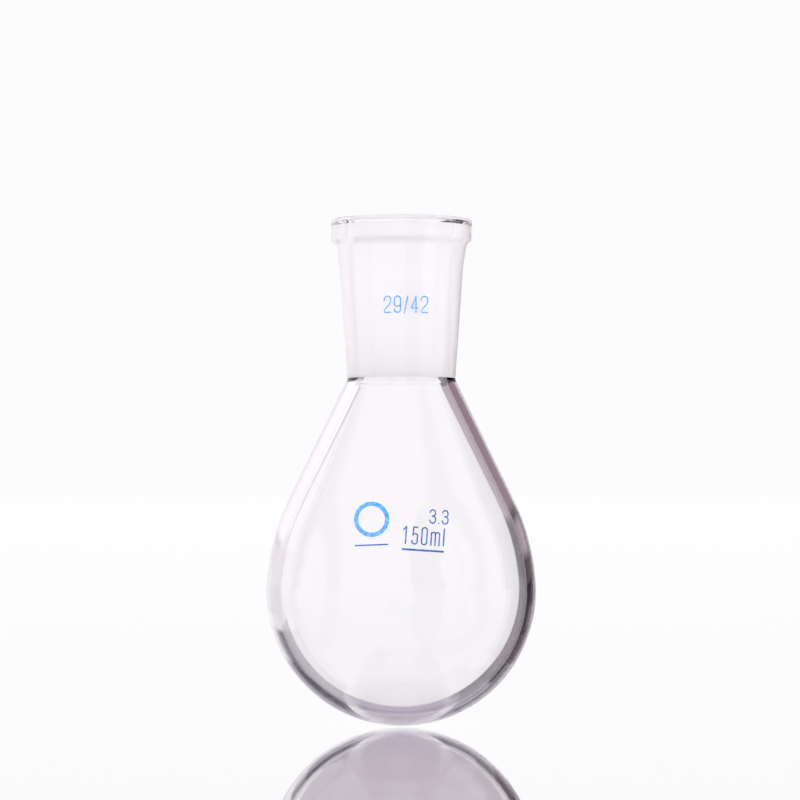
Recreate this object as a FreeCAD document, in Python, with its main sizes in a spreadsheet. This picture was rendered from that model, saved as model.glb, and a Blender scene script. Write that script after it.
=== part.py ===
import FreeCAD, Part
import math
import os
import Sketcher

# A pear-shaped 150 ml borosilicate flask with a 29/42 ground socket. Millimetres, +Z up along the
# axis of the flask, origin where the round bottom touches the surface that it stands on. The
# prints are on the -Y side.

# Driving dimensions: alias, value, what it is.
DIMENSIONS = [
    ("bulb_radius", 36.0, "radius of the round bottom, and of the widest ring"),
    ("shoulder_radius", 61.6, "radius of the arc from the widest ring to the straight flank"),
    ("flank_angle", 26.1, "angle between the straight flank and the axis, degrees"),
    ("bulb_wall", 2.4, "wall of the bulb"),
    ("seal_radius", 15.85, "outer radius of the bulb where it is cut and sealed"),
    ("bulb_height", 89.4, "height of that cut"),
    ("ground_foot", 92.8, "height of the small end of the ground taper"),
    ("ground_length", 42.0, "length of the ground taper"),
    ("ground_mouth", 29.2, "diameter of the ground taper at its wide end"),
    ("taper_run", 10.0, "length in which the ground taper widens by 1 mm of diameter"),
    ("neck_foot_radius", 14.5, "outer radius of the joint tube at its foot"),
    ("waist_radius", 2.0, "concave radius outside the seal"),
    ("roll_radius", 3.0, "convex radius inside the seal"),
    ("flare_rise", 26.7, "height above the ground foot where the tube starts to flare"),
    ("flare_radius", 16.35, "outer radius there"),
    ("collar_foot_rise", 35.3, "height above the ground foot of the chamfer under the collar"),
    ("collar_foot_radius", 17.4, "outer radius there"),
    ("collar_foot_round", 1.5, "rounding there"),
    ("band_foot_rise", 36.8, "height above the ground foot where the chamfer meets the band"),
    ("band_radius", 18.8, "radius of the collar's cylindrical band"),
    ("band_round", 0.8, "rounding at both ends of the band"),
    ("band_top_rise", 40.5, "height above the ground foot where the band ends"),
    ("bead_rise", 41.2, "height above the ground foot of the bead at the rim"),
    ("bead_radius", 19.0, "radius of that bead"),
    ("rim_round", 1.2, "outer rounding of the fire-polished rim"),
    ("lip_height", 0.5, "height of the rim above the ground taper, and its inner rounding"),
    ("film", 0.1, "thickness of the fired enamel"),
    ("size_mark_left", -4.48, "left end of the joint size print"),
    ("size_mark_base", 109.55, "height of its base line"),
    ("size_mark_digit_height", 4.25, "height of its digits"),
    ("size_mark_digit_width", 1.62, "width of its digits"),
    ("size_mark_gap", 1.0, "gap between its digits"),
    ("size_mark_stroke", 0.32, "width of its strokes"),
    ("capacity_left", 0.22, "left end of the capacity print"),
    ("capacity_base", 49.2, "height of its base line"),
    ("capacity_digit_height", 4.33, "height of its digits"),
    ("capacity_digit_width", 1.3, "width of its digits"),
    ("capacity_gap", 1.15, "gap between its digits"),
    ("rule_start", 0.2, "start of the rule under the capacity, from the print's left end"),
    ("rule_drop", 1.51, "distance from the base line down to that rule"),
    ("rule_length", 10.4, "length of that rule"),
    ("rule_stroke", 0.5, "width of that rule"),
    ("glass_mark_left", 7.27, "left end of the glass number"),
    ("glass_mark_base", 54.37, "height of its base line"),
    ("glass_mark_digit_height", 3.4, "height of its digits"),
    ("glass_mark_digit_width", 1.45, "width of its digits"),
    ("glass_mark_gap", 0.89, "gap between its digits"),
    ("print_stroke", 0.36, "width of the strokes on the bulb"),
    ("print_fall", 4.0, "fall of the right-hand prints on the bulb, degrees"),
    ("spot_side", -7.7, "sideways place of the middle of the marking spot"),
    ("spot_middle", 55.3, "height of its middle"),
    ("spot_radius", 4.0, "radius of its ring, to the middle of the stroke"),
    ("spot_stroke", 1.1, "width of that stroke"),
    ("spot_rule_drop", 6.6, "distance from its middle down to the rule to write on"),
    ("spot_rule_length", 8.4, "length of that rule"),
    ("spot_rise", 2.4, "rise of that rule to the right, degrees"),
]

NEAR = 1e-4
CONE_ANGLE = "(90 + dims.flank_angle) * 1 deg"
SEAL_INNER_RADIUS = "dims.seal_radius - dims.bulb_wall / cos(dims.flank_angle * 1 deg)"
GROUND_FOOT_RADIUS = "(dims.ground_mouth - dims.ground_length / dims.taper_run) / 2"
RIM_TOP = "dims.ground_foot + dims.ground_length + dims.lip_height"

# Single-line digits in a cell 1 wide and 1 high: a straight stroke is two points, and an arc is
# three, its middle one on the curve. The cell of each glyph is its width in digit widths.
GLYPH_WIDTH = {"/": 0.56, ".": 0.0, "m": 1.6, "l": 0.0}
GLYPHS = {
    "0": [
        [(0, 0.8), (0.5, 1), (1, 0.8)],
        [(1, 0.8), (1, 0.2)],
        [(1, 0.2), (0.5, 0), (0, 0.2)],
        [(0, 0.2), (0, 0.8)],
    ],
    "1": [[(0.1, 0.8), (0.62, 1)], [(0.62, 1), (0.62, 0)]],
    "2": [
        [(0, 0.74), (0.5, 1), (1, 0.76)],
        [(1, 0.76), (0.95, 0.62), (0.8, 0.5)],
        [(0.8, 0.5), (0.14, 0.21)],
        [(0.14, 0.21), (0.04, 0.12), (0, 0)],
        [(0, 0), (1, 0)],
    ],
    "3": [
        [(0, 0.8), (0.47, 1), (0.92, 0.79)],
        [(0.92, 0.79), (0.84, 0.6), (0.4, 0.53)],
        [(0.4, 0.53), (0.87, 0.46), (1, 0.26)],
        [(1, 0.26), (0.5, 0), (0, 0.21)],
    ],
    "4": [[(0.72, 0), (0.72, 1)], [(0.72, 1), (0, 0.27)], [(0, 0.27), (1, 0.27)]],
    "5": [
        [(0.95, 1), (0.2, 1)],
        [(0.2, 1), (0.1, 0.52)],
        [(0.1, 0.52), (0.6, 0.61), (1, 0.38)],
        [(1, 0.38), (1, 0.22)],
        [(1, 0.22), (0.5, 0), (0, 0.2)],
    ],
    "9": [
        [(0, 0.79), (0.5, 1), (1, 0.79)],
        [(1, 0.79), (1, 0.21)],
        [(1, 0.21), (0.5, 0), (0, 0.19)],
        [(0, 0.79), (0, 0.57)],
        [(0, 0.57), (0.5, 0.37), (1, 0.57)],
    ],
    "/": [[(0, -0.06), (1, 1)]],
    ".": [[(0, 0), (0, 0.02)]],
    "m": [
        [(0, 0), (0, 0.74)],
        [(0, 0.58), (0.25, 0.76), (0.5, 0.58)],
        [(0.5, 0.58), (0.5, 0)],
        [(0.5, 0.58), (0.75, 0.76), (1, 0.58)],
        [(1, 0.58), (1, 0)],
    ],
    "l": [[(0, 0), (0, 1)]],
}

os.makedirs("parts", exist_ok=True)
doc = FreeCAD.newDocument("pear_flask")
sheet = doc.addObject("Spreadsheet::Sheet", "dims")
for row, (alias, value, meaning) in enumerate(DIMENSIONS, start=1):
    sheet.set(f"A{row}", meaning)
    sheet.set(f"B{row}", str(value))
    sheet.setAlias(f"B{row}", alias)
doc.recompute()


# ---------------------------------------------------------------- sketches

def value_of(expression):
    """The number that an expression on the sheet gives now."""
    result = sheet.evalExpression(expression)
    return float(getattr(result, "Value", result))


def new_sketch(body, name):
    """A sketch on the body's own XZ plane: its x is the radius, its y the height."""
    sketch = body.newObject("Sketcher::SketchObject", name)
    plane = next(f for f in body.Origin.OriginFeatures if f.Role == "XZ_Plane")
    sketch.AttachmentSupport = [(plane, "")]
    sketch.MapMode = "FlatFace"
    return sketch


def bind(sketch, constraint, expression):
    """Add a dimension to a sketch and let the sheet drive it."""
    index = sketch.addConstraint(constraint)
    sketch.setExpression(f"Constraints[{index}]", expression)


def pin(sketch, curve, end, radius, height):
    """Hold one end (1 start, 2 end, 3 centre) of a curve at a radius and a height."""
    bind(sketch, Sketcher.Constraint("DistanceX", -1, 1, curve, end, value_of(radius)), radius)
    bind(sketch, Sketcher.Constraint("DistanceY", -1, 1, curve, end, value_of(height)), height)


def point(radius, height):
    return FreeCAD.Vector(value_of(radius), value_of(height), 0)


def add_line(sketch, start, end):
    return sketch.addGeometry(Part.LineSegment(start, end), False)


def add_arc(sketch, centre, radius, first_angle, last_angle):
    circle = Part.Circle(centre, FreeCAD.Vector(0, 0, 1), radius)
    return sketch.addGeometry(Part.ArcOfCircle(circle, first_angle, last_angle), False)


def join(sketch, curve, end, other, other_end):
    sketch.addConstraint(Sketcher.Constraint("Coincident", curve, end, other, other_end))


def blend(sketch, curve, end, other, other_end):
    """Join two ends so that one curve runs smoothly into the other."""
    sketch.addConstraint(Sketcher.Constraint("Tangent", curve, end, other, other_end))


def polar(angle, length):
    return FreeCAD.Vector(length * math.cos(angle), length * math.sin(angle), 0)


# ---------------------------------------------------------------- solids of revolution

def new_body(name):
    body = doc.addObject("PartDesign::Body", name)
    body.Label = name
    return body


def revolve(body, sketch):
    turn = body.newObject("PartDesign::Revolution", f"{body.Name}_turn")
    turn.Profile = sketch
    turn.ReferenceAxis = (sketch, ["V_Axis"])
    turn.Angle = 360
    doc.recompute()


def ring_edges(body, radius, height):
    """Names of the body's circular edges at a radius and a height."""
    spot = point(radius, height)
    names = []
    for number, edge in enumerate(body.Shape.Edges, start=1):
        curve = edge.Curve
        if isinstance(curve, Part.Circle) and abs(curve.Radius - spot.x) < NEAR:
            if abs(curve.Center.z - spot.y) < NEAR:
                names.append(f"Edge{number}")
    return names


def round_ring(body, name, radius, height, size):
    """Round the circular edge at a radius and a height."""
    tip = body.Tip
    fillet = body.newObject("PartDesign::Fillet", f"{body.Name}_{name}")
    fillet.Base = (tip, ring_edges(body, radius, height))
    fillet.setExpression("Radius", size)
    doc.recompute()


def pear_outline(sketch, growth):
    """Round bottom, shoulder arc and straight flank of the bulb, moved out by growth."""
    bulb_radius = value_of("dims.bulb_radius")
    shoulder = value_of("dims.shoulder_radius")
    flank = math.radians(value_of("dims.flank_angle"))
    extra = value_of(growth)
    cut_radius = f"dims.seal_radius + ({growth}) / cos(dims.flank_angle * 1 deg)"
    end = point(cut_radius, "dims.bulb_height")
    normal = polar(flank, 1)
    reach = normal.dot(end) - bulb_radius * math.sin(flank) - shoulder - extra
    start_angle = flank - math.acos(reach / (bulb_radius - shoulder))
    bottom_centre = FreeCAD.Vector(0, bulb_radius, 0)
    shoulder_centre = bottom_centre + polar(start_angle, bulb_radius - shoulder)
    bottom = add_arc(sketch, bottom_centre, bulb_radius + extra, -math.pi / 2, start_angle)
    upper = add_arc(sketch, shoulder_centre, shoulder + extra, start_angle, flank)
    side = add_line(sketch, shoulder_centre + polar(flank, shoulder + extra), end)

    sketch.addConstraint(Sketcher.Constraint("PointOnObject", bottom, 3, -2))
    sketch.addConstraint(Sketcher.Constraint("PointOnObject", bottom, 1, -2))
    bind(sketch, Sketcher.Constraint("DistanceY", -1, 1, bottom, 3, bulb_radius), "dims.bulb_radius")
    bind(sketch, Sketcher.Constraint("Radius", bottom, bulb_radius + extra), f"dims.bulb_radius + {growth}")
    bind(sketch, Sketcher.Constraint("Radius", upper, shoulder + extra), f"dims.shoulder_radius + {growth}")
    blend(sketch, bottom, 2, upper, 1)
    blend(sketch, upper, 2, side, 1)
    bind(sketch, Sketcher.Constraint("Angle", side, math.pi / 2 + flank), CONE_ANGLE)
    pin(sketch, side, 2, cut_radius, "dims.bulb_height")
    return bottom, side


def pear_shell(name, inner_growth, outer_growth):
    """A shell between two offsets of the bulb's outer surface, open at the seal."""
    body = new_body(name)
    sketch = new_sketch(body, f"{name}_profile")
    outer_bottom, outer_side = pear_outline(sketch, outer_growth)
    inner_bottom, inner_side = pear_outline(sketch, inner_growth)
    rim = add_line(sketch, sketch.getPoint(outer_side, 2), sketch.getPoint(inner_side, 2))
    join(sketch, rim, 1, outer_side, 2)
    join(sketch, rim, 2, inner_side, 2)
    axis = add_line(sketch, sketch.getPoint(inner_bottom, 1), sketch.getPoint(outer_bottom, 1))
    join(sketch, axis, 1, inner_bottom, 1)
    join(sketch, axis, 2, outer_bottom, 1)
    revolve(body, sketch)
    return body


def make_bulb():
    """The mould-blown bulb: one glass shell, cut square at the top where the neck is sealed on."""
    return pear_shell("bulb", "-dims.bulb_wall", "0")


def throat_side(sketch, foot, head, radius):
    """A line up the flank from foot, and an arc from it to head, centred away from the axis."""
    angle = math.pi / 2 + math.radians(value_of("dims.flank_angle"))
    start, end, size = point(*foot), point(*head), value_of(radius)
    along, away = polar(angle, 1), polar(angle - math.pi / 2, 1)
    offset = (end - start).dot(away)
    run = (end - start).dot(along) - math.sqrt(size ** 2 - (size - offset) ** 2)
    centre = start + along * run + away * size
    swing = math.atan2(end.y - centre.y, end.x - centre.x) % (2 * math.pi)
    line = add_line(sketch, start, start + along * run)
    arc = add_arc(sketch, centre, size, swing, angle + math.pi / 2)
    pin(sketch, line, 1, *foot)
    pin(sketch, arc, 1, *head)
    blend(sketch, line, 2, arc, 2)
    bind(sketch, Sketcher.Constraint("Angle", line, angle), CONE_ANGLE)
    bind(sketch, Sketcher.Constraint("Radius", arc, size), radius)
    return line, arc


def make_seal_ring():
    """The flame-sealed throat: the flank runs into a small waist outside and a roll inside."""
    body = new_body("seal_ring")
    sketch = new_sketch(body, "seal_ring_profile")
    outer_line, outer_arc = throat_side(
        sketch,
        ("dims.seal_radius", "dims.bulb_height"),
        ("dims.neck_foot_radius", "dims.ground_foot"),
        "dims.waist_radius",
    )
    inner_line, inner_arc = throat_side(
        sketch,
        (SEAL_INNER_RADIUS, "dims.bulb_height"),
        (GROUND_FOOT_RADIUS, "dims.ground_foot"),
        "dims.roll_radius",
    )
    for first, first_end, second, second_end in (
        (outer_line, 1, inner_line, 1),
        (outer_arc, 1, inner_arc, 1),
    ):
        face = add_line(sketch, sketch.getPoint(first, first_end), sketch.getPoint(second, second_end))
        join(sketch, face, 1, first, first_end)
        join(sketch, face, 2, second, second_end)
    revolve(body, sketch)
    return body


def rise(cell):
    """Height of a point of the socket, from its rise above the ground foot."""
    return f"dims.ground_foot + dims.{cell}"


def flaring_arc(sketch, before, start, end):
    """An arc from start to end that goes on in the direction of the line from before to start."""
    along = end - start
    away = (start - before).cross(FreeCAD.Vector(0, 0, 1)).normalize()
    radius = along.dot(along) / (2 * along.dot(away))
    centre = start + away * radius
    first = math.atan2(end.y - centre.y, end.x - centre.x) % (2 * math.pi)
    last = math.atan2(start.y - centre.y, start.x - centre.x) % (2 * math.pi)
    return add_arc(sketch, centre, radius, first, last)


def outline(sketch, corners, flare=None):
    """A closed outline, each corner held by the sheet: straight lines, and an arc after corner flare."""
    points = [point(*corner) for corner in corners]
    count = len(points)
    curves = []
    for index in range(count):
        start, end = points[index], points[(index + 1) % count]
        if index == flare:
            curves.append(flaring_arc(sketch, points[index - 1], start, end))
        else:
            curves.append(add_line(sketch, start, end))
    for index, corner in enumerate(corners):
        begin, finish = (2, 1) if index == flare else (1, 2)
        next_begin = 2 if index + 1 == flare else 1
        pin(sketch, curves[index], begin, *corner)
        if index + 1 == flare:
            blend(sketch, curves[index], finish, curves[index + 1], next_begin)
        else:
            join(sketch, curves[index], finish, curves[(index + 1) % count], next_begin)


def make_ground_socket():
    """The joint tube: ground taper inside, and a collar with a plain band and a round rim outside."""
    body = new_body("ground_socket")
    sketch = new_sketch(body, "ground_socket_profile")
    collar_foot = ("dims.collar_foot_radius", rise("collar_foot_rise"))
    band_foot = ("dims.band_radius", rise("band_foot_rise"))
    band_top = ("dims.band_radius", rise("band_top_rise"))
    rim = ("dims.bead_radius", RIM_TOP)
    mouth = ("(dims.ground_mouth + dims.lip_height / dims.taper_run) / 2", RIM_TOP)
    outline(sketch, [
        (GROUND_FOOT_RADIUS, "dims.ground_foot"),
        ("dims.neck_foot_radius", "dims.ground_foot"),
        ("dims.flare_radius", rise("flare_rise")),
        collar_foot,
        band_foot,
        band_top,
        ("dims.bead_radius", rise("bead_rise")),
        rim,
        mouth,
    ], flare=2)
    revolve(body, sketch)
    for name, corner, size in (
        ("collar_foot", collar_foot, "dims.collar_foot_round"),
        ("band_foot", band_foot, "dims.band_round"),
        ("band_top", band_top, "dims.band_round"),
        ("rim", rim, "dims.rim_round"),
        ("mouth", mouth, "dims.lip_height"),
    ):
        round_ring(body, name, *corner, size)
    return body


# ---------------------------------------------------------------- enamel prints

def make_neck_skin():
    """A film on the cone of the joint tube, below its flare, from which the prints are cut."""
    body = new_body("neck_skin")
    sketch = new_sketch(body, "neck_skin_profile")
    outline(sketch, [
        ("dims.neck_foot_radius", "dims.ground_foot"),
        ("dims.neck_foot_radius + dims.film", "dims.ground_foot"),
        ("dims.flare_radius + dims.film", rise("flare_rise")),
        ("dims.flare_radius", rise("flare_rise")),
    ])
    revolve(body, sketch)
    return body


def stroke_face(points, half):
    """The flat face of one stroke without its ends: a bar for two points, a bent bar for three."""
    if len(points) == 2:
        start, end = points
        side = (end - start).cross(FreeCAD.Vector(0, 1, 0)).normalize() * half
        corners = [start + side, end + side, end - side, start - side]
        return Part.Face(Part.makePolygon(corners + corners[:1]))
    centre = Part.Arc(*points).toShape().Curve.Center
    outer = [p + (p - centre).normalize() * half for p in points]
    inner = [p - (p - centre).normalize() * half for p in points]
    edges = [
        Part.Arc(*outer).toShape(),
        Part.makeLine(outer[2], inner[2]),
        Part.Arc(*reversed(inner)).toShape(),
        Part.makeLine(inner[0], outer[0]),
    ]
    return Part.Face(Part.Wire(edges))


def ink_prism(strokes, half):
    """Strokes of the pen run along -Y, with round ends, long enough to pass the front of the flask."""
    depth = FreeCAD.Vector(0, -2 * value_of("dims.bulb_radius"), 0)
    pieces = []
    for points in strokes:
        pieces.append(stroke_face(points, half).extrude(depth))
        for end in (points[0], points[-1]):
            pieces.append(Part.makeCylinder(half, depth.Length, end, depth))
    return pieces[0].multiFuse(pieces[1:]).removeSplitter()


def turned(x, z, origin, angle):
    """A point of the print's own flat drawing, turned by its angle and moved to its place."""
    return FreeCAD.Vector(
        origin[0] + x * math.cos(angle) - z * math.sin(angle),
        0,
        origin[1] + x * math.sin(angle) + z * math.cos(angle),
    )


def text_strokes(text, mark, angle):
    """Strokes of a line of digits, whose place and size are the sheet's cells for that mark."""
    origin = value_of(f"dims.{mark}_left"), value_of(f"dims.{mark}_base")
    width = value_of(f"dims.{mark}_digit_width")
    height = value_of(f"dims.{mark}_digit_height")
    strokes = []
    left = 0
    for glyph in text:
        cell = width * GLYPH_WIDTH.get(glyph, 1)
        for points in GLYPHS[glyph]:
            strokes.append([turned(left + x * cell, z * height, origin, angle) for x, z in points])
        left += cell + value_of(f"dims.{mark}_gap")
    return strokes


def spot_strokes():
    """The ring of the marking spot: an upper and a lower half circle."""
    origin = value_of("dims.spot_side"), value_of("dims.spot_middle")
    radius = value_of("dims.spot_radius")
    return [
        [turned(x, z, origin, 0) for x, z in ((-radius, 0), (0, side * radius), (radius, 0))]
        for side in (1, -1)
    ]


def spot_rule():
    """The rule under the marking spot, centred on it."""
    half = value_of("dims.spot_rule_length") / 2
    angle = math.radians(value_of("dims.spot_rise"))
    middle = value_of("dims.spot_side"), value_of("dims.spot_middle - dims.spot_rule_drop")
    return [turned(x, 0, middle, angle) for x in (-half, half)]


def capacity_rule(angle):
    """The rule under the capacity print."""
    origin = value_of("dims.capacity_left"), value_of("dims.capacity_base")
    start, length = value_of("dims.rule_start"), value_of("dims.rule_length")
    return [turned(x, -value_of("dims.rule_drop"), origin, angle) for x in (start, start + length)]


def make_mark(name, strokes, stroke_cell, skin):
    """One print: the film of a skin inside the outline of its strokes."""
    ink = doc.addObject("Part::Feature", f"{name}_ink")
    ink.Shape = ink_prism(strokes, value_of(stroke_cell) / 2)
    ink.Placement = FreeCAD.Placement()
    mark = doc.addObject("Part::Common", name)
    mark.Label = name
    mark.Base = skin
    mark.Tool = ink
    doc.recompute()
    return mark


def make_marks():
    neck_skin = make_neck_skin()
    bulb_skin = pear_shell("bulb_skin", "0", "dims.film")
    fall = -math.radians(value_of("dims.print_fall"))
    return [
        make_mark("joint_size_mark", text_strokes("29/42", "size_mark", 0),
                  "dims.size_mark_stroke", neck_skin),
        make_mark("capacity_mark", text_strokes("150ml", "capacity", fall),
                  "dims.print_stroke", bulb_skin),
        make_mark("capacity_underline", [capacity_rule(fall)], "dims.rule_stroke", bulb_skin),
        make_mark("glass_type_mark", text_strokes("3.3", "glass_mark", fall),
                  "dims.print_stroke", bulb_skin),
        make_mark("marking_spot", spot_strokes(), "dims.spot_stroke", bulb_skin),
        make_mark("marking_rule", [spot_rule()], "dims.print_stroke", bulb_skin),
    ]


# ---------------------------------------------------------------- build, check, export

pieces = [make_bulb(), make_seal_ring(), make_ground_socket()] + make_marks()
doc.recompute()
for item in doc.Objects:
    if "Invalid" in item.State or "Error" in item.State:
        raise RuntimeError(f"{item.Label} failed: {item.State}")
for piece in pieces:
    if piece.Shape.isNull() or not piece.Shape.isValid():
        raise RuntimeError(f"{piece.Label} has no valid shape")
for piece in pieces:
    piece.Shape.exportStep(f"parts/{piece.Label}.step")
    print(f"{piece.Label}: {len(piece.Shape.Solids)} solids, {piece.Shape.Volume:.2f} mm3")
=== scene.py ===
import math
import bpy
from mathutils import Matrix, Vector, noise


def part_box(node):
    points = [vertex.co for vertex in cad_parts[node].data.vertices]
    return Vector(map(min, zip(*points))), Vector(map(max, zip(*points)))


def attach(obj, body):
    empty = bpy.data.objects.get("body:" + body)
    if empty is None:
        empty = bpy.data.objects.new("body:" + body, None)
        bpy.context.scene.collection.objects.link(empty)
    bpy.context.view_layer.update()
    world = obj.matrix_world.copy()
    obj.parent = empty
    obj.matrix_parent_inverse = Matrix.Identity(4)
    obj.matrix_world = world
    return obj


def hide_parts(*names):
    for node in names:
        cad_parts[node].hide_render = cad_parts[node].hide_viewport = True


# A pear-shaped flask with a ground socket, drawn as fused glass. Metres, in the frame of the CAD
# model: +Z up along the flask's axis, the prints on the -Y side.

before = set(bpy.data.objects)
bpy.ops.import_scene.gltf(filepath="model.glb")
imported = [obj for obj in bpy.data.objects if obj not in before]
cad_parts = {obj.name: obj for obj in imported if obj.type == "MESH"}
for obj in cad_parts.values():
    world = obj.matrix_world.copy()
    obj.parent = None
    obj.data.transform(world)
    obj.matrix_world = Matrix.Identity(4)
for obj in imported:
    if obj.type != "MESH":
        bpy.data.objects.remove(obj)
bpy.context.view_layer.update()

MM = 0.001

# Sizes that the frame gives.
BULB_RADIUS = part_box("bulb")[1].x
BULB_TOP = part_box("bulb")[1].z
GROUND_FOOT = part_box("ground_socket")[0].z
RIM_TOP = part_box("ground_socket")[1].z
SEAL_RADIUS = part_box("seal_ring")[1].x

# Sizes of the bulb and the seal that boxes don't show.
SHOULDER_RADIUS = 61.6 * MM  # of the arc between the round bottom and the straight flank
FLANK_ANGLE = math.radians(26.1)  # how far the flank leans in
BULB_WALL = 2.4 * MM
WAIST_RADIUS = 2.0 * MM  # outside, where the flank turns into the neck
ROLL_RADIUS = 3.0 * MM  # inside, at the same place

# The same for the ground socket. Heights are over its foot.
NECK_FOOT_RADIUS = 14.5 * MM
GROUND_FOOT_RADIUS = 12.5 * MM
GROUND_MOUTH_RADIUS = 14.6 * MM
TAPER = 20  # 1 in 20 on radius, which is 1 in 10 on diameter
FLARE_RADIUS, FLARE_HEIGHT = 16.35 * MM, 26.7 * MM
COLLAR_FOOT_RADIUS, COLLAR_FOOT_HEIGHT = 17.4 * MM, 35.3 * MM
COLLAR_RADIUS, COLLAR_LOW, COLLAR_HIGH = 18.8 * MM, 36.8 * MM, 40.5 * MM
BEAD_RADIUS, BEAD_LOW = 19.0 * MM, 41.2 * MM
COLLAR_FOOT_ROUNDING = 1.5 * MM
COLLAR_ROUNDING = 0.8 * MM
BEAD_ROUNDING = 1.2 * MM
MOUTH_ROUNDING = 0.5 * MM  # the taper starts where this ends
CLEAR_LIP = 1.3 * MM  # fire-polished, above the ground part of the taper

# How the fire-polished lip sags and swells on its way round.
UNEVEN_DEPTH = 1.6 * MM
UNEVEN_WAVES = 2.2  # more makes more waves round the lip
LIP_SWELL = 0.12 * MM
LIP_SAG = 0.14 * MM
LIP_DROP = 0.6  # shifts the sag down
SWELL_SPOT = Vector((3.1, 0.0, 0.0))
SAG_SPOT = Vector((0.0, 5.7, 4.0))

# Steps that arcs and lines are cut into.
AROUND = 288
BOTTOM_STEPS = 96
SHOULDER_STEPS = 32
FLANK_STEPS = 24
SEAL_FLANK_STEPS = 6
SEAL_TURN_STEPS = 10
NECK_STEPS = 24
FLARE_STEPS = 12
ROUNDING_STEPS = 8
GROUND_STEPS = 32

# ---------------------------------------------------------------- node helpers


def feed(tree, socket, value):
    """Link an output into a socket, or set the socket to a number, vector or (r, g, b) colour."""
    if isinstance(value, bpy.types.NodeSocket):
        tree.links.new(value, socket)
    elif socket.type == "RGBA":
        socket.default_value = (*value, 1.0)
    else:
        socket.default_value = value


def add(tree, kind, **inputs):
    """A new node with some inputs fed. An underscore stands for the space in an input's name."""
    node = tree.nodes.new(kind)
    for name, value in inputs.items():
        feed(tree, node.inputs[name.replace("_", " ")], value)
    return node


def operate(tree, kind, operation, values):
    """A new math or vector math node, with its inputs fed in order."""
    node = tree.nodes.new(kind)
    node.operation = operation
    for socket, value in zip(node.inputs, values):
        feed(tree, socket, value)
    return node


def maths(tree, operation, *values):
    return operate(tree, "ShaderNodeMath", operation, values).outputs[0]


def dot(tree, *vectors):
    return operate(tree, "ShaderNodeVectorMath", "DOT_PRODUCT", vectors).outputs["Value"]


def scaled(tree, *colours):
    return operate(tree, "ShaderNodeVectorMath", "MULTIPLY", colours).outputs["Vector"]


def ramp(tree, value, low, high, to_low=0.0, to_high=1.0):
    """Smooth step of value from to_low at low to to_high at high."""
    node = add(
        tree, "ShaderNodeMapRange",
        Value=value, From_Min=low, From_Max=high, To_Min=to_low, To_Max=to_high,
    )
    node.interpolation_type = "SMOOTHSTEP"
    return node.outputs["Result"]


def mix_colours(tree, factor, a, b):
    """Colour a where factor is 0 and b where it is 1."""
    node = tree.nodes.new("ShaderNodeMix")
    node.data_type = "RGBA"
    for socket, value in zip((node.inputs[0], node.inputs[6], node.inputs[7]), (factor, a, b)):
        feed(tree, socket, value)
    return node.outputs[2]


def mix_shaders(tree, share, a, b):
    node = tree.nodes.new("ShaderNodeMixShader")
    for socket, value in zip(node.inputs, (share, a.outputs[0], b.outputs[0])):
        feed(tree, socket, value)
    return node


# ---------------------------------------------------------------- materials

IOR = 1.474  # of borosilicate glass
CLEAR_TINT = (0.998, 0.995, 1.0)
GROUND_TINT = (1.0, 0.995, 1.0)
GRIT_ROUGHNESS = 0.55
SCATTER_SHARE = 0.7
# The frost's own near-white colour facing, and a darker lilac for where it is seen aslant, which
# is painted shade at the neck's edges.
MILK_FACING = (0.995, 0.985, 0.995)
PAINTED_EDGE_SHADE = (0.80, 0.74, 0.785)
MILK_TURN = (0.12, 0.5)  # between these, the frost goes from its own colour facing to the painted edge shade aslant
INK_ROUGHNESS = 0.35
INK_CLOUDS = 900.0  # scale of the patches where the ink came out thin
INK_PATCHES = (0.35, 0.7)  # between these, the ink goes from thick to thin


def new_material(name):
    material = bpy.data.materials.new(name)
    material.use_nodes = True
    material.node_tree.nodes.clear()
    return material, material.node_tree


def finish_material(material, tree, shader):
    add(tree, "ShaderNodeOutputMaterial", Surface=shader.outputs[0])
    return material


def glass_shader(tree, tint, roughness):
    return add(
        tree, "ShaderNodeBsdfPrincipled",
        Base_Color=tint, Transmission_Weight=1.0, IOR=IOR, Roughness=roughness,
    )


def clear_glass():
    material, tree = new_material("clear_glass")
    return finish_material(material, tree, glass_shader(tree, CLEAR_TINT, 0.0))


def ground_glass():
    """Ground with grit: part of the light goes on, spread wide, and the rest is scattered."""
    material, tree = new_material("ground_glass")
    glass = glass_shader(tree, GROUND_TINT, GRIT_ROUGHNESS)
    facing = tree.nodes.new("ShaderNodeLayerWeight").outputs["Facing"]
    # The scattered part is painted darker and lilac towards the neck's edges, where it is seen
    # aslant: painted shade.
    milk_and_edge_shade = mix_colours(tree, ramp(tree, facing, *MILK_TURN), MILK_FACING, PAINTED_EDGE_SHADE)
    front = add(tree, "ShaderNodeBsdfDiffuse", Color=milk_and_edge_shade)
    back = add(tree, "ShaderNodeBsdfTranslucent", Color=milk_and_edge_shade)
    scatter = mix_shaders(tree, 0.5, front, back)
    return finish_material(material, tree, mix_shaders(tree, SCATTER_SHARE, glass, scatter))


def fused_seam():
    """The plane where two pieces of glass are fused has no surface, so light passes it unbent."""
    material, tree = new_material("fused_seam")
    return finish_material(material, tree, tree.nodes.new("ShaderNodeBsdfTransparent"))


def enamel(name, thick, thin):
    """Fired enamel print, with patches where the ink came out thin."""
    material, tree = new_material(name)
    place = tree.nodes.new("ShaderNodeTexCoord").outputs["Object"]
    clouds = add(tree, "ShaderNodeTexNoise", Vector=place, Scale=INK_CLOUDS, Detail=2.0)
    ink = mix_colours(tree, ramp(tree, clouds.outputs["Fac"], *INK_PATCHES), thick, thin)
    paint = add(tree, "ShaderNodeBsdfPrincipled", Base_Color=ink, Roughness=INK_ROUGHNESS)
    return finish_material(material, tree, paint)


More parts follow.
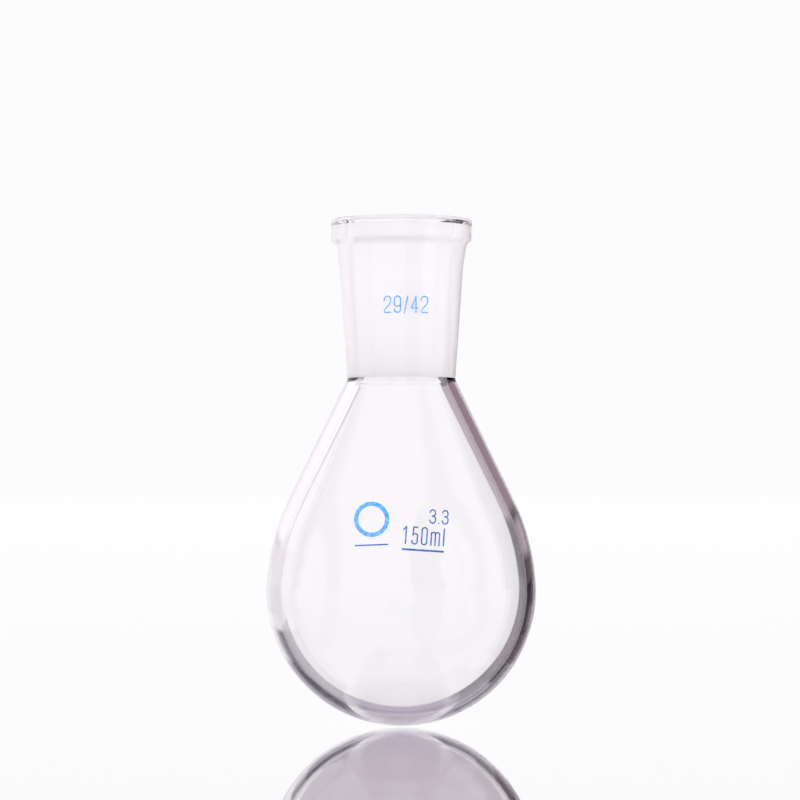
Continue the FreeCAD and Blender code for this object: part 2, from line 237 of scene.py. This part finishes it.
CLEAR = clear_glass()
GROUND = ground_glass()
SEAM = fused_seam()
BLUE = enamel("blue_enamel", (0.012, 0.065, 0.3), (0.06, 0.17, 0.5))
LIGHT_BLUE = enamel("light_blue_enamel", (0.05, 0.26, 0.7), (0.17, 0.42, 0.82))

# ---------------------------------------------------------------- profiles: (radius, height) pairs


def arc_points(centre, radius, first, last, count):
    """count points along an arc after its first point, which is left out."""
    points = []
    for step in range(1, count + 1):
        angle = first + (last - first) * step / count
        points.append((centre[0] + radius * math.cos(angle), centre[1] + radius * math.sin(angle)))
    return points


def line_points(start, end, count):
    """count points along a line after its start, which is left out."""
    across, up = end[0] - start[0], end[1] - start[1]
    steps = range(1, count + 1)
    return [(start[0] + across * step / count, start[1] + up * step / count) for step in steps]


def pear_profile(growth):
    """Bulb surface moved out by growth, from the pole to the cut under the seal. The shoulder's
    arc touches the round bottom at start and the flank at FLANK_ANGLE."""
    cut = (SEAL_RADIUS + growth / math.cos(FLANK_ANGLE), BULB_TOP)
    normal = (math.cos(FLANK_ANGLE), math.sin(FLANK_ANGLE))
    reach = normal[0] * cut[0] + normal[1] * cut[1] - growth - SHOULDER_RADIUS
    reach -= BULB_RADIUS * math.sin(FLANK_ANGLE)
    offset = BULB_RADIUS - SHOULDER_RADIUS
    start = FLANK_ANGLE - math.acos(reach / offset)
    centre = (offset * math.cos(start), BULB_RADIUS + offset * math.sin(start))
    points = [(0.0, -growth)]
    points += arc_points((0, BULB_RADIUS), BULB_RADIUS + growth, -math.pi / 2, start, BOTTOM_STEPS)
    points += arc_points(centre, SHOULDER_RADIUS + growth, start, FLANK_ANGLE, SHOULDER_STEPS)
    points += line_points(points[-1], cut, FLANK_STEPS)
    return points


def throat_profile(foot, head, radius):
    """The flank runs on from foot and turns to head on an arc centred away from the axis."""
    along = (-math.sin(FLANK_ANGLE), math.cos(FLANK_ANGLE))
    away = (math.cos(FLANK_ANGLE), math.sin(FLANK_ANGLE))
    span = (head[0] - foot[0], head[1] - foot[1])
    offset = span[0] * away[0] + span[1] * away[1]
    run = span[0] * along[0] + span[1] * along[1] - math.sqrt(radius**2 - (radius - offset) ** 2)
    turn = (foot[0] + along[0] * run, foot[1] + along[1] * run)
    centre = (turn[0] + away[0] * radius, turn[1] + away[1] * radius)
    first = FLANK_ANGLE + math.pi
    last = math.atan2(head[1] - centre[1], head[0] - centre[0]) % (2 * math.pi)
    flank = line_points(foot, turn, SEAL_FLANK_STEPS)
    return [foot] + flank + arc_points(centre, radius, first, last, SEAL_TURN_STEPS)


def flare_profile(start, end):
    """The arc that carries the neck's straight side, which it touches at start, out to end."""
    slope = Vector(start) - Vector((NECK_FOOT_RADIUS, GROUND_FOOT))
    away = Vector((slope.y, -slope.x)).normalized()
    span = Vector(end) - Vector(start)
    radius = span.dot(span) / (2 * span.dot(away))
    centre = Vector(start) + away * radius
    first = math.atan2(start[1] - centre.y, start[0] - centre.x) % (2 * math.pi)
    last = math.atan2(end[1] - centre.y, end[0] - centre.x) % (2 * math.pi)
    return arc_points(tuple(centre), radius, first, last, FLARE_STEPS)


def round_corner(points, corner, size):
    """Replace one corner of an outline by an arc."""
    before, at, after = (Vector(p) for p in points[corner - 1 : corner + 2])
    back, on = (before - at).normalized(), (after - at).normalized()
    half = back.angle(on) / 2
    reach = size / math.tan(half)
    centre = at + (back + on).normalized() * (size / math.sin(half))
    start, end = at + back * reach, at + on * reach
    first = math.atan2(start.y - centre.y, start.x - centre.x)
    swing = math.atan2(end.y - centre.y, end.x - centre.x) - first
    swing = (swing + math.pi) % (2 * math.pi) - math.pi
    arc = [tuple(start)]
    arc += arc_points(tuple(centre), size, first, first + swing, ROUNDING_STEPS)
    return points[:corner] + arc + points[corner + 1 :]


def rounded_outline(corners):
    """An outline from (point, rounding) corners. A rounding of None leaves its corner sharp."""
    points = [point for point, _ in corners]
    for index in reversed(range(len(corners))):
        rounding = corners[index][1]
        if rounding:
            points = round_corner(points, index, rounding)
    return points


# ---------------------------------------------------------------- lathe

CLEAR_SLOT, SEAM_SLOT, GROUND_SLOT = 0, 1, 2
ON_AXIS = 1e-7


def strips(points, slot, last_slot):
    """Give every point the slot of the strip that follows it, and the last point last_slot."""
    return [(r, z, slot) for r, z in points[:-1]] + [(*points[-1], last_slot)]


def strip_faces(ring, after):
    """Faces from one ring of vertices to the next. A ring of one vertex is a pole, and there is
    nothing between two poles."""
    faces = []
    if len(ring) == 1 and len(after) == 1:
        return faces
    for step in range(AROUND):
        turn = (step + 1) % AROUND
        if len(ring) == 1:
            faces.append((ring[0], after[turn], after[step]))
        elif len(after) == 1:
            faces.append((ring[step], ring[turn], after[0]))
        else:
            faces.append((ring[step], ring[turn], after[turn], after[step]))
    return faces


def sharpen_borders(mesh):
    """Shade the rim of each material patch sharp."""
    slots = {}
    for polygon in mesh.polygons:
        for key in polygon.edge_keys:
            slots.setdefault(key, set()).add(polygon.material_index)
    sharp = mesh.attributes.new("sharp_edge", "BOOLEAN", "EDGE")
    for edge in mesh.edges:
        sharp.data[edge.index].value = len(slots[edge.key]) > 1


def lathe(name, profile, materials, wobble=None):
    """A closed solid of revolution. profile is a list of (radius, height, slot of the strip that
    follows), and wobble gives how far a point moves out and up."""
    vertices = []
    rings = []
    for radius, height, _ in profile:
        if radius < ON_AXIS:
            rings.append([len(vertices)])
            vertices.append((0.0, 0.0, height))
            continue
        ring = []
        for step in range(AROUND):
            angle = 2 * math.pi * step / AROUND
            out, up = wobble(height, angle) if wobble else (0.0, 0.0)
            r = radius + out
            ring.append(len(vertices))
            vertices.append((r * math.cos(angle), r * math.sin(angle), height + up))
        rings.append(ring)
    faces = []
    slots = []
    for index, (_, _, slot) in enumerate(profile):
        strip = strip_faces(rings[index], rings[(index + 1) % len(rings)])
        faces += strip
        slots += [slot] * len(strip)
    mesh = bpy.data.meshes.new(name)
    mesh.from_pydata(vertices, [], faces)
    for material in materials:
        mesh.materials.append(material)
    mesh.polygons.foreach_set("material_index", slots)
    mesh.polygons.foreach_set("use_smooth", [True] * len(faces))
    mesh.update()
    sharpen_borders(mesh)
    piece = bpy.data.objects.new(name, mesh)
    bpy.context.scene.collection.objects.link(piece)
    return piece


# ---------------------------------------------------------------- the three pieces of glass


def make_bulb():
    outer = pear_profile(0.0)
    inner = pear_profile(-BULB_WALL)
    profile = strips(outer, CLEAR_SLOT, SEAM_SLOT) + strips(inner[::-1], CLEAR_SLOT, CLEAR_SLOT)
    return lathe("bulb_glass", profile, [CLEAR, SEAM])


def make_seal_ring():
    outer_foot = (SEAL_RADIUS, BULB_TOP)
    inner_foot = (SEAL_RADIUS - BULB_WALL / math.cos(FLANK_ANGLE), BULB_TOP)
    outer = throat_profile(outer_foot, (NECK_FOOT_RADIUS, GROUND_FOOT), WAIST_RADIUS)
    inner = throat_profile(inner_foot, (GROUND_FOOT_RADIUS, GROUND_FOOT), ROLL_RADIUS)
    profile = strips(outer, CLEAR_SLOT, SEAM_SLOT) + strips(inner[::-1], CLEAR_SLOT, SEAM_SLOT)
    return lathe("seal_ring_glass", profile, [CLEAR, SEAM])


def uneven_lip(height, angle):
    """How far the lip swells out and sags at a height and an angle round the axis."""
    share = max(0.0, (height - (RIM_TOP - UNEVEN_DEPTH)) / UNEVEN_DEPTH)
    if share == 0.0:
        return 0.0, 0.0
    spot = Vector((UNEVEN_WAVES * math.cos(angle), UNEVEN_WAVES * math.sin(angle), 0.0))
    swell = noise.noise(spot + SWELL_SPOT)
    sag = noise.noise(spot + SAG_SPOT)
    return LIP_SWELL * share * swell, LIP_SAG * share * (sag - LIP_DROP)


def make_ground_socket():
    neck_foot = (NECK_FOOT_RADIUS, GROUND_FOOT)
    flare_start = (FLARE_RADIUS, GROUND_FOOT + FLARE_HEIGHT)
    collar_foot = (COLLAR_FOOT_RADIUS, GROUND_FOOT + COLLAR_FOOT_HEIGHT)
    flare = flare_profile(flare_start, collar_foot)
    head = rounded_outline([
        (flare[-2], None),
        (collar_foot, COLLAR_FOOT_ROUNDING),
        ((COLLAR_RADIUS, GROUND_FOOT + COLLAR_LOW), COLLAR_ROUNDING),
        ((COLLAR_RADIUS, GROUND_FOOT + COLLAR_HIGH), COLLAR_ROUNDING),
        ((BEAD_RADIUS, GROUND_FOOT + BEAD_LOW), None),
        ((BEAD_RADIUS, RIM_TOP), BEAD_ROUNDING),
        ((GROUND_MOUTH_RADIUS, RIM_TOP), MOUTH_ROUNDING),
        ((GROUND_MOUTH_RADIUS, RIM_TOP - 2 * MOUTH_ROUNDING), None),
    ])
    outer = [neck_foot] + line_points(neck_foot, flare_start, NECK_STEPS) + flare[:-2] + head[:-1]
    ground_top = GROUND_MOUTH_RADIUS - (CLEAR_LIP - MOUTH_ROUNDING) / TAPER, RIM_TOP - CLEAR_LIP
    inner = [ground_top]
    inner += line_points(ground_top, (GROUND_FOOT_RADIUS, GROUND_FOOT), GROUND_STEPS)
    profile = strips(outer, CLEAR_SLOT, CLEAR_SLOT) + strips(inner, GROUND_SLOT, SEAM_SLOT)
    return lathe("ground_socket_glass", profile, [CLEAR, SEAM, GROUND], uneven_lip)


for maker, node, slot in (
    (make_bulb, "bulb", "clear_glass"),
    (make_seal_ring, "seal_ring", "clear_glass"),
    (make_ground_socket, "ground_socket", "socket_glass"),
):
    piece = maker()
    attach(piece, "root")
    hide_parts(node)

# ---------------------------------------------------------------- the prints

for node, ink in (
    ("joint_size_mark", LIGHT_BLUE),
    ("capacity_mark", BLUE),
    ("capacity_underline", BLUE),
    ("glass_type_mark", BLUE),
    ("marking_spot", LIGHT_BLUE),
    ("marking_rule", BLUE),
):
    print_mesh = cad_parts[node].data
    print_mesh.materials.clear()
    print_mesh.materials.append(ink)

# ---------------------------------------------------------------- table top

FLOOR_SIZE = 60.0
FLOOR_DROP = 0.3 * MM  # under the flask, so that the two don't touch
FLOOR_COLOUR = (0.50, 0.49, 0.50)
FLOOR_ROUGHNESS = 0.02
MIRROR_WHITE = (1.0, 1.0, 1.0)
MIRROR_SHARE = 0.85  # and Fresnel adds the rest
MIRROR_IOR = 1.5


def make_floor():
    bpy.ops.mesh.primitive_plane_add(size=FLOOR_SIZE, location=(0, 0, -FLOOR_DROP))
    floor = bpy.context.object
    floor.name = "floor"
    material, tree = new_material("floor")
    fresnel = add(tree, "ShaderNodeFresnel", IOR=MIRROR_IOR).outputs[0]
    more = maths(tree, "MULTIPLY", fresnel, 1.0 - MIRROR_SHARE)
    share = maths(tree, "ADD", more, MIRROR_SHARE)
    paint = add(tree, "ShaderNodeBsdfDiffuse", Color=FLOOR_COLOUR)
    mirror = add(
        tree, "ShaderNodeBsdfAnisotropic", Color=MIRROR_WHITE, Roughness=FLOOR_ROUGHNESS
    )
    shader = mix_shaders(tree, share, paint, mirror)
    floor.data.materials.append(finish_material(material, tree, shader))


# ---------------------------------------------------------------- studio

# The studio is a white tent with darker cloths and paper round the white field behind the flask.
# A cloth is a patch of a ring round a line of sight: from and to in degrees off that line, then
# from and to in degrees round it (0 right, 90 up), its colour, and how soft its ring's borders
# are. A later cloth hangs over the ones before it.
WHITE = (1.0, 0.99, 1.005)
FRONT_CLOTHS = [
    # To the right.
    (12, 20, -25, 40, (0.09, 0.07, 0.095), 1.0),
    (20, 80, -25, 36, (0.03, 0.02, 0.025), 3.0),
    (12, 16, 19, 36, (0.85, 0.80, 0.84), 1.0),
    (16, 80, 22, 36, (0.26, 0.18, 0.22), 3.0),
    (22, 38, 9, 19, (0.42, 0.33, 0.38), 2.0),
    (19, 38, -2, 7, (0.03, 0.012, 0.016), 2.0),
    # Up and to the right.
    (12.5, 19, 36, 64, (0.08, 0.065, 0.095), 1.0),
    (19, 38, 37, 64, (0.60, 0.55, 0.65), 3.0),
    (40, 66, 36, 68, (0.08, 0.065, 0.09), 4.0),
    # Above.
    (13, 20, 64, 122, (0.30, 0.25, 0.35), 1.0),
    (13, 14.8, 68, 112, (0.10, 0.08, 0.12), 1.0),
    (20, 38, 64, 108, (0.30, 0.25, 0.34), 3.0),
    (38, 66, 68, 112, (0.34, 0.29, 0.38), 4.0),
    # Up and to the left.
    (14, 20, 122, 146, (0.55, 0.50, 0.60), 1.0),
    (20, 40, 104, 140, (0.09, 0.08, 0.13), 2.0),
    # To the left.
    (15, 70, 145, 168, (1.12, 1.08, 1.12), 0.7),
    (15, 70, 168, 215, (0.90, 0.86, 0.89), 0.7),
    (15, 16.4, 145, 205, (0.60, 0.55, 0.60), 0.7),
]
SIDE_CLOTHS = [
    (10, 36, -60, 60, (0.24, 0.20, 0.26), 3.0),
    (22, 36, 60, 288, (0.50, 0.46, 0.55), 4.0),
    (10, 12, 120, 240, (0.50, 0.46, 0.53), 1.0),
]
# Lines of sight: degrees round from +Y towards +X, degrees up, and the cloths round each.
SIGHTS = [
    (-45, 25, SIDE_CLOTHS),
    (135, 15, SIDE_CLOTHS),
    (-90, 3, SIDE_CLOTHS),
    (0, 0, FRONT_CLOTHS),
]
# What hangs overhead for light that comes through glass.
CEILING_CLOTHS = [(66, 115, 60, 120, (0.12, 0.10, 0.12), 6.0)]
# What lies over the cloths, and the white field in front of them, for light that has crossed two
# walls or more.
FAR_CLOTHS = [(12, 80, 17, 37, (0.50, 0.42, 0.48), 1.0)]
WHITE_FIELD = [(-5, 13, -90, 310, WHITE, 1.0)]
# What light that has been turned back inside the bulb meets, on white.
STRAY_CLOTHS = [(13, 120, 64, 116, (0.42, 0.37, 0.46), 3.0)]
# What the table top mirrors into the low half of the glass, on white.
FLOOR_CLOTHS = [
    # To the right.
    (12.5, 20, -5, 50, (0.18, 0.13, 0.17), 1.0),
    (20, 68, -5, 50, (0.03, 0.02, 0.03), 3.0),
    # Up and to the right.
    (12.5, 30, 48, 70, (0.06, 0.045, 0.06), 1.0),
    (30, 90, 48, 70, (0.40, 0.36, 0.42), 4.0),
    # Above.
    (13, 17, 68, 114, (0.50, 0.44, 0.52), 1.0),
    (17, 30, 68, 114, (0.18, 0.13, 0.23), 2.0),
    (30, 90, 68, 114, (0.40, 0.34, 0.43), 4.0),
    # Up and to the left.
    (13.5, 24, 110, 160, (0.42, 0.38, 0.44), 1.0),
    (24, 68, 110, 160, (0.03, 0.025, 0.05), 4.0),
    # To the left.
    (15, 70, 160, 190, (0.80, 0.76, 0.80), 1.0),
]
ROUND_SOFTNESS = 4.0  # of a cloth's two ends, in degrees
ROUND_START = -70.0  # degrees round run from here through a full turn
PAINTED_REFLECTION_FIELD = 12.5  # degrees off straight ahead where the bulb's reflection is painted lilac
PAINTED_REFLECTION_LILAC = (0.53, 0.46, 0.53)
THROUGH_GLASS = (0.965, 0.955, 0.965)  # what the glass leaves of each colour
SCATTERED = (1.55, 1.60, 1.55)  # what scattered light meets
BACKDROP = (0.973, 0.965, 0.981)  # behind the flask, seen directly


def sight_axes(turn, up):
    """Unit vectors along, right of and above a line of sight."""
    turn, up = math.radians(turn), math.radians(up)
    along = Vector((math.sin(turn) * math.cos(up), math.cos(turn) * math.cos(up), math.sin(up)))
    right = Vector((math.cos(turn), -math.sin(turn), 0))
    return along, right, right.cross(along)


def window(tree, value, low, high, soft):
    """1 between low and high, 0 outside, with soft borders."""
    rise = ramp(tree, value, low - soft / 2, low + soft / 2)
    fall = ramp(tree, value, high - soft / 2, high + soft / 2, 1.0, 0.0)
    return maths(tree, "MULTIPLY", rise, fall)


def hang_cloths(tree, direction, colour, cloths, turn=0, up=0):
    """colour with cloths over it, round one line of sight."""
    along, right, above = sight_axes(turn, up)
    off_sight = maths(tree, "DEGREES", maths(tree, "ARCCOSINE", dot(tree, direction, along)))
    upward, sideways = dot(tree, direction, above), dot(tree, direction, right)
    round_sight = maths(tree, "DEGREES", maths(tree, "ARCTAN2", upward, sideways))
    round_sight = maths(tree, "WRAP", round_sight, ROUND_START + 360.0, ROUND_START)
    for off_low, off_high, low, high, shade, soft in cloths:
        ring = window(tree, off_sight, off_low, off_high, soft)
        arc = window(tree, round_sight, low, high, ROUND_SOFTNESS)
        colour = mix_colours(tree, maths(tree, "MULTIPLY", ring, arc), colour, shade)
    return colour


def make_world():
    """The studio. What light meets in it depends on its path: on the surfaces it has crossed, two
    to a wall, on the times it was mirrored, and on which of the two came last."""
    world = bpy.data.worlds.new("studio")
    bpy.context.scene.world = world
    world.use_nodes = True
    tree = world.node_tree
    tree.nodes.clear()
    direction = tree.nodes.new("ShaderNodeTexCoord").outputs["Generated"]
    path = tree.nodes.new("ShaderNodeLightPath").outputs

    def at_least(value, least):
        return maths(tree, "GREATER_THAN", value, least - 0.5)

    def both(a, b):
        return maths(tree, "MULTIPLY", a, b)

    def hang(colour, cloths, turn=0, up=0):
        return hang_cloths(tree, direction, colour, cloths, turn, up)

    def where(mask, colour, other):
        return mix_colours(tree, mask, colour, other)

    crossed, mirrored = path["Transmission Depth"], path["Glossy Depth"]
    crossed_last = path["Is Transmission Ray"]
    mirrored_last = maths(tree, "SUBTRACT", 1.0, crossed_last)
    through = at_least(crossed, 1)
    far = at_least(crossed, 4)
    near = maths(tree, "SUBTRACT", 1.0, far)
    off_table = both(mirrored_last, at_least(crossed, 2))
    # Light that was mirrored before its last surface has been turned back inside the bulb.
    stray = both(far, at_least(maths(tree, "ADD", mirrored, crossed_last), 2))
    # Paths where the table top mirrors the bulb, which get the painted lilac reflection.
    straight = dot(tree, direction, (0, 1, 0))
    ahead = maths(tree, "GREATER_THAN", straight, math.cos(math.radians(PAINTED_REFLECTION_FIELD)))
    twice = both(both(crossed_last, near), both(through, at_least(mirrored, 2)))
    painted_reflection = maths(tree, "MAXIMUM", both(ahead, stray), twice)

    colour = WHITE
    for turn, up, cloths in SIGHTS:
        colour = hang(colour, cloths, turn, up)
    colour = where(through, colour, hang(colour, CEILING_CLOTHS))
    colour = where(far, colour, hang(colour, FAR_CLOTHS))
    colour = where(off_table, colour, hang(WHITE, FLOOR_CLOTHS))
    # Straight through the bulb, every line of sight meets the white field.
    field = colour
    for turn, up, _ in SIGHTS:
        field = hang(field, WHITE_FIELD, turn, up)
    colour = where(far, colour, field)
    colour = where(stray, colour, hang(WHITE, STRAY_CLOTHS))
    colour = where(through, colour, scaled(tree, colour, THROUGH_GLASS))
    # The bulb's reflection in the table top is painted in as a flat lilac.
    colour = where(painted_reflection, colour, PAINTED_REFLECTION_LILAC)
    colour = where(at_least(path["Diffuse Depth"], 1), colour, SCATTERED)
    colour = where(path["Is Camera Ray"], colour, BACKDROP)
    background = add(tree, "ShaderNodeBackground", Color=colour, Strength=1.0)
    add(tree, "ShaderNodeOutputWorld", Surface=background.outputs[0])


# ---------------------------------------------------------------- camera and light paths

CAMERA_SIDE = -0.37 * MM
CAMERA_DISTANCE = 0.9
CAMERA_HEIGHT = 63 * MM
AIM_HEIGHT = 86.9 * MM
SENSOR_WIDTH = 36.0
LENS = 151.5
SURFACE_BOUNCES = 14
GLASS_BOUNCES = 32  # the walls and their mirror image take many


def make_camera():
    data = bpy.data.cameras.new("camera")
    data.sensor_width = SENSOR_WIDTH
    data.lens = LENS
    camera = bpy.data.objects.new("camera", data)
    camera.location = (CAMERA_SIDE, -CAMERA_DISTANCE, CAMERA_HEIGHT)
    aim = Vector((CAMERA_SIDE, 0, AIM_HEIGHT))
    camera.rotation_euler = (aim - camera.location).to_track_quat("-Z", "Y").to_euler()
    bpy.context.scene.collection.objects.link(camera)
    bpy.context.scene.camera = camera


def set_light_paths():
    """Long paths for the glass, and no filter on rough reflections, which darkens the ground
    glass."""
    cycles = bpy.context.scene.cycles
    cycles.blur_glossy = 0.0
    cycles.max_bounces = GLASS_BOUNCES
    cycles.diffuse_bounces = SURFACE_BOUNCES
    cycles.glossy_bounces = SURFACE_BOUNCES
    cycles.transmission_bounces = GLASS_BOUNCES
    cycles.transparent_max_bounces = GLASS_BOUNCES


make_floor()
make_world()
make_camera()
set_light_paths()
bpy.context.scene.view_settings.view_transform = "Standard"
